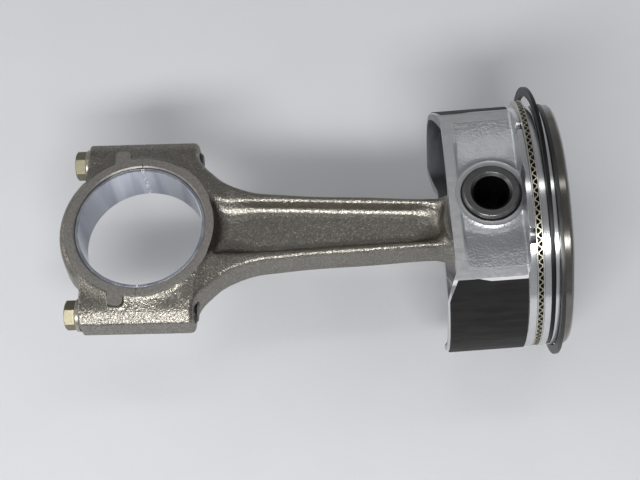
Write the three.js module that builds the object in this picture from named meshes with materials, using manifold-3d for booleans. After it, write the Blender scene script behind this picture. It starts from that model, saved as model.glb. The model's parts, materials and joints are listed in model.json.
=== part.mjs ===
// Engine piston with its connecting rod, laid on its side.
// Millimetres. +Z runs along the wrist pin, +X from the crankpin towards the crown,
// and the origin is the middle of the crown face.
import * as THREE from 'three';
import { mergeVertices } from 'three/addons/utils/BufferGeometryUtils.js';
import Module from 'manifold-3d';

const wasm = await Module();
wasm.setup();

// ---- Driving dimensions -------------------------------------------------------------------
// Inside the piston everything is measured from the wrist-pin axis.
const BORE_RADIUS = 51.8;           // 103.6 mm (4.080 in) cylinder
const LAND_RADIUS = 51.4;
const CROWN_X = 29.5;               // compression height
const ROD_LENGTH = 149.2;           // wrist-pin axis to crankpin axis (5.875 in)
const ROD_SWING = THREE.MathUtils.degToRad(-3.2);   // how far the rod leans at rest

const PIN_RADIUS = 12;
const PIN_HALF = 37;
const PIN_HOLE_RADIUS = 7.3;
const PIN_EDGE = 0.8;
const PIN_MOUTH = 1.2;
const PIN_BORE_RADIUS = 12.08;      // running fit in the piston
const EYE_BORE_RADIUS = 12.05;      // the pin is pressed into this one

const SKIRT_END_X = -21.7;          // longest part of the skirt
const PANEL_END_X = -17.5;          // open end beside the pin bosses
const TRIM_SLOPE = { from: 34, to: 43.5 };          // where the open end slopes between the two
const BELT_START_X = 11;            // underside of the ring belt
const PANEL_Z = 35.5;               // flat beside each pin boss
const RECESS = { x: -13.2, y: 31, corner: 4, z: 33.4 };   // cast recess in that flat
const PAD = { radius: 14.4, z: 34.9 };              // turned face standing round the pin
const CAVITY_RADIUS = 48.6;
const CAVITY_HALF_WIDTH = 30.4;
const BELT_CAVITY_RADIUS = 41;
const CROWN_UNDERSIDE_X = 21.4;
const BOSS_RADIUS = 17.5;
const BOSS_INNER_Z = 13.6;
const STRUT_HALF_WIDTH = 12;
const SKIRT_EDGE = { across: 0.6, along: 1.2 };
const CROWN_EDGE = 1;
const DRAIN = { radius: 3, y: 25 };
const RELIEF = { radius: 17, y: 27, depth: 1.5, tiltDeg: 4 };

const OIL_GROOVE = { from: 14.3, to: 17.3 };
const SECOND_GROOVE = { from: 20, to: 21.7 };
const TOP_GROOVE = { from: 23.5, to: 25.2 };
const GROOVE_RADIUS = 46.4;
const RING_THICKNESS = 1.5;
const RING_PLAY = 0.1;
const RAIL_THICKNESS = 0.5;
const RAIL_PLAY = 0.05;

// Out of a cylinder the rings spring open and hang to one side: shift is across the piston.
const TOP_RING = { inner: 49.9, outer: 53.7, shift: -2.1, gapDeg: 12, gapAt: 250 };
const SECOND_RING = { inner: 51.6, outer: 55.5, shift: 4.7, gapDeg: 22, gapAt: 290 };
const SECOND_RING_LEAN = { start: 8, amount: 2 };
const OIL_RAIL = { inner: 50.2, outer: 52.8, gapDeg: 6 };
const OIL_RAIL_GAPS = { upper: 215, lower: 245 };
const EXPANDER = { inner: 48.8, outer: 52.5, waves: 92, strip: 0.34, swing: 0.62 };
const OIL_RING_SHIFT = 1.4;

const BEARING_RADIUS = 26.7;        // crankpin running surface (2.100 in journal)
const SHELL_OUTER_RADIUS = 28.2;
const HOUSING_RADIUS = 28.3;
const SHELL_HALF_WIDTH = 10.8;
const RIM_RADIUS = 31.5;            // machined side faces of the big end
const RIM_Z = 12;
// Forged band round the big end, as [radius, half-width].
const BAND_EDGE = [[32, 10.2], [34.4, 9.4], [35.6, 8], [36.2, 0]];
// Bolt block across the rod, as [distance from the rod's axis, half-width].
const BOLT_BOSS_EDGE = [[24, 9.6], [37.5, 9.6], [41.4, 8.2], [43, 6]];
const RIM_TAB = { x0: -12, x1: -5.4, y0: 26, y1: 36.6, corner: 1.5 };
const BOLT_Y = 35.8;                // bolt axes, either side of the crankpin
const BOLT_RADIUS = 4.5;
const BOLT_HOLE_RADIUS = 4.75;
const CAP_SEAT_X = -25;             // where the bolt heads bear on the cap
const ROD_BOSS_END_X = 24;          // where the bolts come out of the rod
const BOLT_HEAD = { flange: 7.1, flangeEnd: -2, hexagon: 6.5, end: -6.6, edge: 0.6 };
const BOLT_TIP = { proud: 1.2, edge: 0.9 };
const SEAT_PLAY = 0.05;
const SPLIT_GAP = 0.02;             // each half stops this far from the split plane
const EYE_RADIUS = 18.5;
const EYE_HALF_WIDTH = 12.4;
const BEAM_Z = 8.8;
const WEB_Z = 3.2;
// Half-width of the beam along its length, from the bolt bosses to the eye.
const BEAM_EDGE = [
  [22, 31.5], [27, 29], [35, 22.6], [46, 17.6], [62, 15.3], [98, 13.1], [131, 11.6], [143, 12.4],
];
// The hollow of the I-section, inside that edge.
const POCKET_EDGE = [
  [24, 12.2], [36, 12.4], [47, 12.1], [63, 11.7], [98, 10], [124, 9], [129, 7], [130.5, 2],
];

const ROUND = 60;                   // facets round the piston and rings
const BIG_END_ROUND = 48;
const SMALL_ROUND = 40;
const BOLT_ROUND = 32;
const CURVE_STEPS = 6;
const OUTLINE_STEPS = 30;
const EPS = 0.01;
const FAR = 120;

// ---- Solid helpers ------------------------------------------------------------------------
function solid(geometry) {
  const bare = geometry.index ? geometry.clone() : geometry;
  bare.deleteAttribute('normal');
  bare.deleteAttribute('uv');
  const merged = mergeVertices(bare, 1e-4);
  return new wasm.Manifold(new wasm.Mesh({
    numProp: 3,
    vertProperties: new Float32Array(merged.attributes.position.array),
    triVerts: new Uint32Array(merged.index.array),
  }));
}

function geometryOf(body) {
  const { vertProperties, triVerts } = body.getMesh();
  const geometry = new THREE.BufferGeometry();
  geometry.setAttribute('position', new THREE.BufferAttribute(vertProperties, 3));
  geometry.setIndex(new THREE.BufferAttribute(triVerts, 1));
  geometry.computeVertexNormals();
  return geometry;
}

// One named piece of the assembly.
function part(name, body, look) {
  const mesh = new THREE.Mesh(geometryOf(body), new THREE.MeshStandardMaterial(look));
  mesh.name = name;
  return mesh;
}

function join(bodies) {
  return bodies.reduce((sum, body) => sum.add(body));
}

function cut(body, tools) {
  return tools.reduce((rest, tool) => rest.subtract(tool), body);
}

function box(x0, x1, y0, y1, z0, z1) {
  const geometry = new THREE.BoxGeometry(x1 - x0, y1 - y0, z1 - z0);
  geometry.translate((x0 + x1) / 2, (y0 + y1) / 2, (z0 + z1) / 2);
  return solid(geometry);
}

// Outline in X and Y, raised along Z.
function plate(shape, z0, z1) {
  const geometry = new THREE.ExtrudeGeometry(shape,
    { depth: z1 - z0, bevelEnabled: false, curveSegments: CURVE_STEPS });
  geometry.translate(0, 0, z0);
  return solid(geometry);
}

// Outline in Y and Z, run along X.
function bar(shape, x0, x1) {
  const geometry = new THREE.ExtrudeGeometry(shape, { depth: x1 - x0, bevelEnabled: false });
  const turnToX = new THREE.Matrix4().makeBasis(
    new THREE.Vector3(0, 1, 0),
    new THREE.Vector3(0, 0, 1),
    new THREE.Vector3(1, 0, 0),
  );
  geometry.applyMatrix4(turnToX);
  geometry.translate(x0, 0, 0);
  return solid(geometry);
}

// A closed [radius, height] profile turned about the X or the Z axis.
function turned(profile, axis, segments) {
  const points = profile.map(([radius, height]) => new THREE.Vector2(radius, height));
  const geometry = new THREE.LatheGeometry(points, segments);
  if (axis === 'x') geometry.rotateZ(-Math.PI / 2);
  if (axis === 'z') geometry.rotateX(Math.PI / 2);
  return solid(geometry);
}

function cylinder(radius, from, to, axis, segments = SMALL_ROUND) {
  return turned([[0, from], [radius, from], [radius, to], [0, to]], axis, segments);
}

function polygon(points) {
  return new THREE.Shape(points.map(([a, b]) => new THREE.Vector2(a, b)));
}

function roundedRectangle(x0, x1, y0, y1, radius) {
  const shape = new THREE.Shape();
  shape.moveTo(x0 + radius, y0);
  shape.lineTo(x1 - radius, y0);
  shape.absarc(x1 - radius, y0 + radius, radius, -Math.PI / 2, 0);
  shape.lineTo(x1, y1 - radius);
  shape.absarc(x1 - radius, y1 - radius, radius, 0, Math.PI / 2);
  shape.lineTo(x0 + radius, y1);
  shape.absarc(x0 + radius, y1 - radius, radius, Math.PI / 2, Math.PI);
  shape.lineTo(x0, y0 + radius);
  shape.absarc(x0 + radius, y0 + radius, radius, Math.PI, 1.5 * Math.PI);
  return shape;
}

// An outline symmetric about the X axis: a smooth curve through the upper points, mirrored below.
function mirroredOutline(upper, divisions) {
  const curve = new THREE.SplineCurve(upper.map(([x, y]) => new THREE.Vector2(x, y)));
  const above = curve.getPoints(divisions);
  const below = above.map((p) => new THREE.Vector2(p.x, -p.y)).reverse();
  return new THREE.Shape([...above, ...below]);
}

// A profile that is symmetric about height zero, from its upper half.
function mirroredProfile(upper) {
  const lower = upper.map(([radius, height]) => [radius, -height]).reverse();
  return [...upper, ...lower];
}

// ---- Piston -------------------------------------------------------------------------------
function pistonBlank() {
  const grooved = [OIL_GROOVE, SECOND_GROOVE, TOP_GROOVE].flatMap((groove) => [
    [LAND_RADIUS, groove.from],
    [GROOVE_RADIUS, groove.from],
    [GROOVE_RADIUS, groove.to],
    [LAND_RADIUS, groove.to],
  ]);
  return turned([
    [0, SKIRT_END_X],
    [BORE_RADIUS - SKIRT_EDGE.across, SKIRT_END_X],
    [BORE_RADIUS, SKIRT_END_X + SKIRT_EDGE.along],
    [BORE_RADIUS, BELT_START_X],
    [LAND_RADIUS, BELT_START_X + 0.3],
    ...grooved,
    [LAND_RADIUS, CROWN_X - CROWN_EDGE],
    [LAND_RADIUS - CROWN_EDGE, CROWN_X],
    [0, CROWN_X],
  ], 'x', ROUND);
}

function pistonCavity() {
  const between = box(-FAR, FAR, -FAR, FAR, -CAVITY_HALF_WIDTH, CAVITY_HALF_WIDTH);
  const skirtSpace = cylinder(CAVITY_RADIUS, -FAR, BELT_START_X + 1, 'x', ROUND);
  const beltSpace = cylinder(BELT_CAVITY_RADIUS, 0, CROWN_UNDERSIDE_X, 'x', ROUND);
  return join([skirtSpace, beltSpace]).intersect(between);
}

// One pin boss, with the strut that ties it to the underside of the crown. It reaches out to
// the turned pad that stands round the pin.
function pinBoss(side) {
  const [low, high] = [side * BOSS_INNER_Z, side * (RECESS.z - 0.5)].sort((a, b) => a - b);
  const [padLow, padHigh] = [side * BOSS_INNER_Z, side * PAD.z].sort((a, b) => a - b);
  return join([
    cylinder(BOSS_RADIUS, low, high, 'z'),
    cylinder(PAD.radius, padLow, padHigh, 'z'),
    box(0, CROWN_UNDERSIDE_X + 1, -STRUT_HALF_WIDTH, STRUT_HALF_WIDTH, low, high),
  ]);
}

// What the cast recess removes round the pad, on the upper side and turned over for the lower.
function sideRecess(side) {
  const outline = roundedRectangle(RECESS.x, BELT_START_X, -RECESS.y, RECESS.y, RECESS.corner);
  const hollow = plate(outline, RECESS.z, FAR).subtract(cylinder(PAD.radius, 0, PAD.z, 'z'));
  return side > 0 ? hollow : hollow.rotate([180, 0, 0]);
}

// What is taken off the open end beside the pin, so that the skirts hang lower than the bosses.
function openEndTrim() {
  return plate(polygon([
    [-FAR, -TRIM_SLOPE.to],
    [SKIRT_END_X, -TRIM_SLOPE.to],
    [PANEL_END_X, -TRIM_SLOPE.from],
    [PANEL_END_X, TRIM_SLOPE.from],
    [SKIRT_END_X, TRIM_SLOPE.to],
    [-FAR, TRIM_SLOPE.to],
  ]), -FAR, FAR);
}

// Oil drains: a half-round notch in the lowest land at each end of each side flat.
function drainNotches() {
  const z = Math.sqrt(LAND_RADIUS ** 2 - DRAIN.y ** 2);
  const corners = [[1, 1], [1, -1], [-1, 1], [-1, -1]];
  const drain = cylinder(DRAIN.radius, BELT_START_X - 2, OIL_GROOVE.from + 1, 'x', BOLT_ROUND / 2);
  return corners.map(([sideY, sideZ]) => drain.translate([0, sideY * DRAIN.y, sideZ * z]));
}

// Shallow valve reliefs in the crown, deepest towards its edge.
function valveReliefs() {
  return [1, -1].map((side) => cylinder(RELIEF.radius, 0, FAR, 'x')
    .rotate([0, 0, side * RELIEF.tiltDeg])
    .translate([CROWN_X - RELIEF.depth, side * RELIEF.y, 0]));
}

function piston() {
  const shell = cut(pistonBlank(), [pistonCavity()]);
  const body = cut(join([shell, pinBoss(1), pinBoss(-1)]), [
    box(-FAR, BELT_START_X, -FAR, FAR, PANEL_Z, FAR),
    box(-FAR, BELT_START_X, -FAR, FAR, -FAR, -PANEL_Z),
    sideRecess(1),
    sideRecess(-1),
    openEndTrim(),
    cylinder(PIN_BORE_RADIUS, -FAR, FAR, 'z', BIG_END_ROUND),
    ...drainNotches(),
    ...valveReliefs(),
  ]);
  return part('piston', body, { color: 0xb9bbc0, metalness: 1, roughness: 0.38 });
}

// ---- Rings --------------------------------------------------------------------------------
// A split ring lying square to X. gapDeg is the opening, gapAt its place, both in degrees round X.
function splitRing({ inner, outer, gapDeg, gapAt }, from, thickness) {
  const half = THREE.MathUtils.degToRad(gapDeg / 2);
  const start = THREE.MathUtils.degToRad(gapAt) + half;
  const sweep = 2 * Math.PI - 2 * half;
  const round = (radius) => Array.from({ length: ROUND + 1 }, (_, i) => {
    const angle = start + (sweep * i) / ROUND;
    return [radius * Math.cos(angle), radius * Math.sin(angle)];
  });
  const outline = polygon([...round(outer), ...round(inner).reverse()]);
  return bar(outline, from, from + thickness);
}

function topRing() {
  const body = splitRing(TOP_RING, TOP_GROOVE.from + RING_PLAY, RING_THICKNESS);
  const mesh = part('top_ring', body, { color: 0x3a3b3d, metalness: 1, roughness: 0.35 });
  mesh.position.y = TOP_RING.shift;
  return mesh;
}

// Where the second ring has left its groove it leans towards the skirt.
function secondRing() {
  const flat = splitRing(SECOND_RING, SECOND_GROOVE.from + RING_PLAY, RING_THICKNESS);
  const body = flat.warp((v) => {
    const rise = Math.max(0, v[1] - SECOND_RING_LEAN.start) / (SECOND_RING.outer - SECOND_RING_LEAN.start);
    v[0] -= SECOND_RING_LEAN.amount * rise * rise;
  });
  const mesh = part('second_ring', body, { color: 0x303133, metalness: 1, roughness: 0.45 });
  mesh.position.y = SECOND_RING.shift;
  return mesh;
}

function oilRail(name, from, gapAt) {
  const body = splitRing({ ...OIL_RAIL, gapAt }, from, RAIL_THICKNESS);
  const mesh = part(name, body, { color: 0x9a9a98, metalness: 1, roughness: 0.3 });
  mesh.position.y = OIL_RING_SHIFT;
  return mesh;
}

// A strip corrugated along its length, with flat-topped waves between the two rails.
function oilExpander() {
  const { inner, outer, waves, strip, swing } = EXPANDER;
  const middle = (OIL_GROOVE.from + OIL_GROOVE.to) / 2;
  const wave = [-1, -1, 1, 1];
  const count = waves * wave.length;
  const section = [[inner, -strip / 2], [outer, -strip / 2], [outer, strip / 2], [inner, strip / 2]];
  const positions = [];
  const index = [];
  for (let i = 0; i < count; i += 1) {
    const angle = (2 * Math.PI * i) / count;
    const x = middle + swing * wave[i % wave.length];
    for (const [radius, offset] of section) {
      positions.push(x + offset, radius * Math.cos(angle), radius * Math.sin(angle));
    }
    const here = i * section.length;
    const next = ((i + 1) % count) * section.length;
    for (let side = 0; side < section.length; side += 1) {
      const other = (side + 1) % section.length;
      index.push(here + side, next + other, here + other);
      index.push(here + side, next + side, next + other);
    }
  }
  const geometry = new THREE.BufferGeometry();
  geometry.setAttribute('position', new THREE.Float32BufferAttribute(positions, 3));
  geometry.setIndex(index);
  geometry.computeVertexNormals();
  const look = new THREE.MeshStandardMaterial({ color: 0x8c7a55, metalness: 1, roughness: 0.4 });
  const mesh = new THREE.Mesh(geometry, look);
  mesh.name = 'oil_expander';
  mesh.position.y = OIL_RING_SHIFT;
  return mesh;
}

// ---- Wrist pin ----------------------------------------------------------------------------
function wristPin() {
  const profile = mirroredProfile([
    [PIN_HOLE_RADIUS, PIN_HALF - PIN_MOUTH],
    [PIN_HOLE_RADIUS + PIN_MOUTH, PIN_HALF],
    [PIN_RADIUS - PIN_EDGE, PIN_HALF],
    [PIN_RADIUS, PIN_HALF - PIN_EDGE],
  ]);
  const body = turned([...profile, profile[0]].reverse(), 'z', BIG_END_ROUND);
  return part('wrist_pin', body, { color: 0x4a4a4c, metalness: 1, roughness: 0.25 });
}

// ---- Big end, measured from the crankpin axis ---------------------------------------------
// The full round of the big end before it is split: machined rims on a forged, tapering band.
function bigEndRound() {
  const profile = mirroredProfile([
    [HOUSING_RADIUS, RIM_Z],
    [RIM_RADIUS, RIM_Z],
    ...BAND_EDGE.slice(0, -1),
  ]);
  const outermost = BAND_EDGE[BAND_EDGE.length - 1];
  profile.splice(profile.length / 2, 0, outermost);
  return turned([...profile, profile[0]].reverse(), 'z', BIG_END_ROUND);
}

// The block that a bolt passes through, drafted to an edge on its outer side.
function boltBoss(side, x0, x1) {
  const upper = BOLT_BOSS_EDGE.map(([y, z]) => [side * y, z]);
  const lower = upper.map(([y, z]) => [y, -z]).reverse();
  return bar(polygon([...upper, ...lower]), x0, x1);
}

// Flat pads at rim height beside the split, on the cap.
function rimTab(side) {
  const [y0, y1] = [side * RIM_TAB.y0, side * RIM_TAB.y1].sort((a, b) => a - b);
  const outline = roundedRectangle(RIM_TAB.x0, RIM_TAB.x1, y0, y1, RIM_TAB.corner);
  return plate(outline, -RIM_Z, RIM_Z);
}

function boltHoles() {
  return [1, -1].map((side) => cylinder(BOLT_HOLE_RADIUS, -FAR, ROD_BOSS_END_X + 5, 'x', BOLT_ROUND)
    .translate([0, side * BOLT_Y, 0]));
}

function rodCap() {
  const half = box(-FAR, -SPLIT_GAP, -FAR, FAR, -FAR, FAR);
  const whole = join([
    bigEndRound(),
    boltBoss(1, CAP_SEAT_X, EPS),
    boltBoss(-1, CAP_SEAT_X, EPS),
    rimTab(1),
    rimTab(-1),
  ]);
  const body = cut(whole.intersect(half), [
    cylinder(HOUSING_RADIUS, -FAR, FAR, 'z', BIG_END_ROUND),
    ...boltHoles(),
  ]);
  return part('rod_cap', body, { color: 0x77736a, metalness: 1, roughness: 0.5 });
}

function beamPocket(side) {
  const [low, high] = [side * WEB_Z, side * FAR].sort((a, b) => a - b);
  return plate(mirroredOutline(POCKET_EDGE, OUTLINE_STEPS), low, high)
    .subtract(cylinder(RIM_RADIUS + 0.5, -FAR, FAR, 'z', BIG_END_ROUND));
}

function connectingRod() {
  const half = box(SPLIT_GAP, ROD_LENGTH + FAR, -FAR, FAR, -FAR, FAR);
  const blank = plate(mirroredOutline(BEAM_EDGE, OUTLINE_STEPS), -BEAM_Z, BEAM_Z);
  const beam = cut(blank, [beamPocket(1), beamPocket(-1)]);
  const eye = cylinder(EYE_RADIUS, -EYE_HALF_WIDTH, EYE_HALF_WIDTH, 'z', BIG_END_ROUND);
  const whole = join([
    bigEndRound(),
    beam,
    eye.translate([ROD_LENGTH, 0, 0]),
    boltBoss(1, -EPS, ROD_BOSS_END_X),
    boltBoss(-1, -EPS, ROD_BOSS_END_X),
  ]);
  const body = cut(whole.intersect(half), [
    cylinder(HOUSING_RADIUS, -FAR, FAR, 'z', BIG_END_ROUND),
    cylinder(EYE_BORE_RADIUS, -FAR, FAR, 'z', BIG_END_ROUND).translate([ROD_LENGTH, 0, 0]),
    ...boltHoles(),
  ]);
  return part('connecting_rod', body, { color: 0x7a766d, metalness: 1, roughness: 0.5 });
}

function bearingShell(name, side) {
  const [near, far] = [side * SPLIT_GAP, side * FAR].sort((a, b) => a - b);
  const half = box(near, far, -FAR, FAR, -FAR, FAR);
  const outside = cylinder(SHELL_OUTER_RADIUS, -SHELL_HALF_WIDTH, SHELL_HALF_WIDTH, 'z', BIG_END_ROUND);
  const journal = cylinder(BEARING_RADIUS, -FAR, FAR, 'z', BIG_END_ROUND);
  const body = cut(outside, [journal]).intersect(half);
  return part(name, body, { color: 0xc3c7d0, metalness: 1, roughness: 0.22 });
}

// Flanged cap screw along +X, its seat at x = 0.
function capBolt(name, side) {
  const { flange, flangeEnd, hexagon, end, edge } = BOLT_HEAD;
  const length = ROD_BOSS_END_X - CAP_SEAT_X + BOLT_TIP.proud;
  const washer = turned([
    [0, flangeEnd],
    [flange - edge, flangeEnd],
    [flange, flangeEnd + edge],
    [flange, 0],
    [0, 0],
  ], 'x', SMALL_ROUND);
  const head = turned([
    [0, end],
    [hexagon - edge, end],
    [hexagon, end + edge],
    [hexagon, flangeEnd + EPS],
    [0, flangeEnd + EPS],
  ], 'x', 6).rotate([30, 0, 0]);
  const shank = turned([
    [0, -EPS],
    [BOLT_RADIUS, -EPS],
    [BOLT_RADIUS, length - BOLT_TIP.edge],
    [BOLT_RADIUS - BOLT_TIP.edge, length],
    [0, length],
  ], 'x', BOLT_ROUND);
  const body = join([washer, head, shank]);
  const mesh = part(name, body, { color: 0x8d8a78, metalness: 1, roughness: 0.42 });
  mesh.position.set(CAP_SEAT_X - SEAT_PLAY, side * BOLT_Y, 0);
  return mesh;
}

// ---- Assembly -----------------------------------------------------------------------------
const bigEnd = new THREE.Group();
bigEnd.position.x = -ROD_LENGTH;
bigEnd.add(
  connectingRod(),
  rodCap(),
  bearingShell('bearing_shell_rod', 1),
  bearingShell('bearing_shell_cap', -1),
  capBolt('cap_bolt_upper', 1),
  capBolt('cap_bolt_lower', -1),
);

const swingingRod = new THREE.Group();
swingingRod.rotation.z = ROD_SWING;
swingingRod.add(bigEnd, wristPin());

const assembly = new THREE.Group();
assembly.position.x = -CROWN_X;
assembly.add(
  piston(),
  topRing(),
  secondRing(),
  oilRail('oil_rail_upper', OIL_GROOVE.to - RAIL_PLAY - RAIL_THICKNESS, OIL_RAIL_GAPS.upper),
  oilRail('oil_rail_lower', OIL_GROOVE.from + RAIL_PLAY, OIL_RAIL_GAPS.lower),
  oilExpander(),
  swingingRod,
);

const object = new THREE.Group();
object.name = 'piston_and_rod';
object.add(assembly);

export default object;
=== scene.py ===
"""Looks of the engine piston and its connecting rod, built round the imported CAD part.

Shapes are written in millimetres in local frames that are hung on the pin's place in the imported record.
The piston frame and the pin frame have their origin on the wrist-pin axis, the rod frame on the crankpin
axis. +X runs towards the crown, or along the rod for the pin and the rod, and +Z along the wrist pin.
"""
import json
import math

import bmesh
import bpy
import numpy as np
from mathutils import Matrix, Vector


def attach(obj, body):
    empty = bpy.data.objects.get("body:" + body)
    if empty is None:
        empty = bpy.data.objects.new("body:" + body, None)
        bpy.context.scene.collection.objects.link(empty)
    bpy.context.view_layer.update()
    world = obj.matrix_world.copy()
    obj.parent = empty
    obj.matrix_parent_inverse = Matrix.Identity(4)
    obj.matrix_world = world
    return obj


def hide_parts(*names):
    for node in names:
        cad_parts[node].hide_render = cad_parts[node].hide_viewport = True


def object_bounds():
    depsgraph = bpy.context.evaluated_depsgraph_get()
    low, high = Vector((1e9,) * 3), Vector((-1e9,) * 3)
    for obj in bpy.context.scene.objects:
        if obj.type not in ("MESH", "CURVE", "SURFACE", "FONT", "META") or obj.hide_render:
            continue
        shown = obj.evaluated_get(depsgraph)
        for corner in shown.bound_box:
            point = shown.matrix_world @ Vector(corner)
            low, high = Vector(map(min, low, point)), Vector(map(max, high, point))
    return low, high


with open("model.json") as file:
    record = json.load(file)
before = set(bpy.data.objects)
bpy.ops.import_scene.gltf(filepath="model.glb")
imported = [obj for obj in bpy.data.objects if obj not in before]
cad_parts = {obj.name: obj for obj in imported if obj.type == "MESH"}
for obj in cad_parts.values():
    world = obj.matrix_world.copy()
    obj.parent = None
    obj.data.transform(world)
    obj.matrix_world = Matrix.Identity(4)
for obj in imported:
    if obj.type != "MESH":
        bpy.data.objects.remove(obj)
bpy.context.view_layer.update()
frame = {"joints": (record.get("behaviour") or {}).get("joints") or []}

import openvdb
from mathutils import Matrix, Vector

MM = 0.001

# ---- Places. The pin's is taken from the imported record, and the rod leans as in the photo ---
SWING_JOINT = next(j for j in frame["joints"] if j["name"] == "rod_swing")
PIN_AT = Vector(SWING_JOINT["pos_m"])
ROD_LENGTH = 149.2
ROD_LEAN = math.radians(-3.2)
PISTON_FRAME = Matrix.Translation(PIN_AT)
ROD_FRAME = (Matrix.Translation(PIN_AT) @ Matrix.Rotation(ROD_LEAN, 4, "Z")
             @ Matrix.Translation((-ROD_LENGTH * MM, 0, 0)))
PIN_FRAME = Matrix.Translation(PIN_AT) @ Matrix.Rotation(ROD_LEAN, 4, "Z")

# ---- Sizes shared with the CAD part, millimetres -------------------------------------------
BORE_RADIUS = 51.8
LAND_RADIUS = 51.4
CROWN_X = 29.5
PIN_RADIUS = 12.0
PIN_HALF = 37.0
PIN_HOLE_RADIUS = 7.3
PIN_BORE_RADIUS = 12.08
EYE_BORE_RADIUS = 12.05
SKIRT_END_X = -21.7
PANEL_END_X = -17.5
BELT_START_X = 11.0
PANEL_Z = 35.5
RECESS_Z = 33.4
RECESS_X = -12.6
PAD_Z = 34.9
PAD_RADIUS = 14.4
CAVITY_RADIUS = 48.6
CAVITY_HALF_WIDTH = 30.4
BELT_CAVITY_RADIUS = 41.0
CROWN_UNDERSIDE_X = 21.4
BOSS_RADIUS = 17.5
BOSS_INNER_Z = 13.6
GROOVE_RADIUS = 46.4
DRAIN_Y = 25.0
DRAIN_Z = math.sqrt(LAND_RADIUS ** 2 - DRAIN_Y ** 2)
# Where the grooves of the oil ring, the second ring and the top ring begin and end along x.
GROOVES = [(14.3, 17.3), (20.0, 21.7), (23.5, 25.2)]
BEARING_RADIUS = 26.7
SHELL_OUTER_RADIUS = 28.2
HOUSING_RADIUS = 28.3
SHELL_HALF_WIDTH = 10.8
RIM_RADIUS = 32.0
RIM_Z = 12.0
BOLT_Y = 35.8
BOLT_RADIUS = 4.5
BOLT_HOLE_RADIUS = 4.75
CAP_SEAT_X = -25.0
ROD_BOSS_END_X = 24.0
SPLIT_GAP = 0.02
EYE_RADIUS = 18.5
EYE_HALF_WIDTH = 12.4
BEAM_Z = 8.8
WEB_Z = 3.2
POCKET_END_X = 130.0
RELIEF_RADIUS = 17.0
RELIEF_Y = 27.0
RELIEF_DEPTH = 1.5
RELIEF_TILT = math.radians(4)
OIL_RING_RISE = 1.4
HEAD_RADIUS = 6.5
HEAD_TOP_X = -6.6
FLANGE_RADIUS = 7.1
FLANGE_TOP_X = -2.0
BAND_RADIUS = 36.2
BOSS_HALF_WIDTH = 43.0
BOSS_Z = 9.6

# ---- Sizes of the visual model only, millimetres -------------------------------------------
PISTON_STEP = 0.4
ROD_STEP = 0.34
FIELD_MARGIN = 1.5
RING_SEGMENTS = 260
COAT_DIP_Y = 38.6
EYE_CLEARANCE = 1.9
EYE_SIDE_CLEARANCE = 0.9
FAR = 60.0
# Half-widths of the beam and of its pocket at a few places along the rod.
BEAM_EDGE = [(22, 31.5), (27, 29), (35, 22.6), (46, 17.6), (62, 15.3), (98, 13.1), (131, 11.6), (143, 12.4)]
POCKET_EDGE = [(20, 12.2), (36, 12.6), (47, 12.3), (63, 11.7), (98, 10.0), (131, 8.7)]
# Each ring's radii, its extent along x, the width and place of its opening in degrees, and how far it has
# slipped across the piston in y.
TOP_RING = dict(inner=49.9, outer=53.7, x0=23.6, x1=25.1, gap=12, gap_at=250, rise=-2.1)
SECOND_RING = dict(inner=51.6, outer=55.5, x0=20.1, x1=21.6, gap=22, gap_at=290, rise=4.7)
RAIL = dict(inner=50.2, outer=52.8, gap=6, rise=OIL_RING_RISE, edge=0.12)
UPPER_RAIL = dict(RAIL, x0=16.75, x1=17.25, gap_at=215)
LOWER_RAIL = dict(RAIL, x0=14.35, x1=14.85, gap_at=245)


# ---- Meshes --------------------------------------------------------------------------------
def mesh_object(name, points, faces, material):
    """A closed mesh from millimetre points, with its faces turned outwards."""
    mesh = bpy.data.meshes.new(name)
    scaled = np.asarray(points, float) * MM
    mesh.from_pydata([tuple(p) for p in scaled], [], [tuple(f) for f in faces])
    bm = bmesh.new()
    bm.from_mesh(mesh)
    bmesh.ops.remove_doubles(bm, verts=bm.verts, dist=1e-7)
    bmesh.ops.dissolve_degenerate(bm, edges=bm.edges, dist=1e-8)
    bmesh.ops.recalc_face_normals(bm, faces=bm.faces)
    if bm.calc_volume(signed=True) < 0:
        bmesh.ops.reverse_faces(bm, faces=bm.faces)
    bm.to_mesh(mesh)
    bm.free()
    obj = bpy.data.objects.new(name, mesh)
    bpy.context.scene.collection.objects.link(obj)
    mesh.materials.append(material)
    return obj


def along(axis, a, b, h):
    """Points (a, b) across and h along an axis, as x, y, z."""
    return (h, a, b) if axis == "x" else (a, b, h)


def lathe(name, profile, axis, segments, material):
    """A closed [radius, height] outline turned all the way round the x or z axis."""
    points, faces, count = [], [], len(profile)
    for i in range(segments):
        turn = 2 * math.pi * i / segments
        points += [along(axis, r * math.cos(turn), r * math.sin(turn), h) for r, h in profile]
    for i in range(segments):
        here, there = i * count, (i + 1) % segments * count
        for k in range(count):
            m = (k + 1) % count
            faces.append((here + k, here + m, there + m, there + k))
    return mesh_object(name, points, faces, material)


def arc_sweep(name, profile, axis, start, sweep, segments, material, warp=None):
    """A closed [radius, height] outline swept through part of a turn, in degrees, with flat ends."""
    points, faces, count = [], [], len(profile)
    for i in range(segments + 1):
        turn = math.radians(start + sweep * i / segments)
        points += [along(axis, r * math.cos(turn), r * math.sin(turn), h) for r, h in profile]
    for i in range(segments):
        here, there = i * count, (i + 1) * count
        for k in range(count):
            m = (k + 1) % count
            faces.append((here + k, here + m, there + m, there + k))
    faces.append(tuple(range(count)))
    faces.append(tuple(segments * count + k for k in range(count)))
    if warp:
        points = [warp(p) for p in points]
    return mesh_object(name, points, faces, material)


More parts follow.
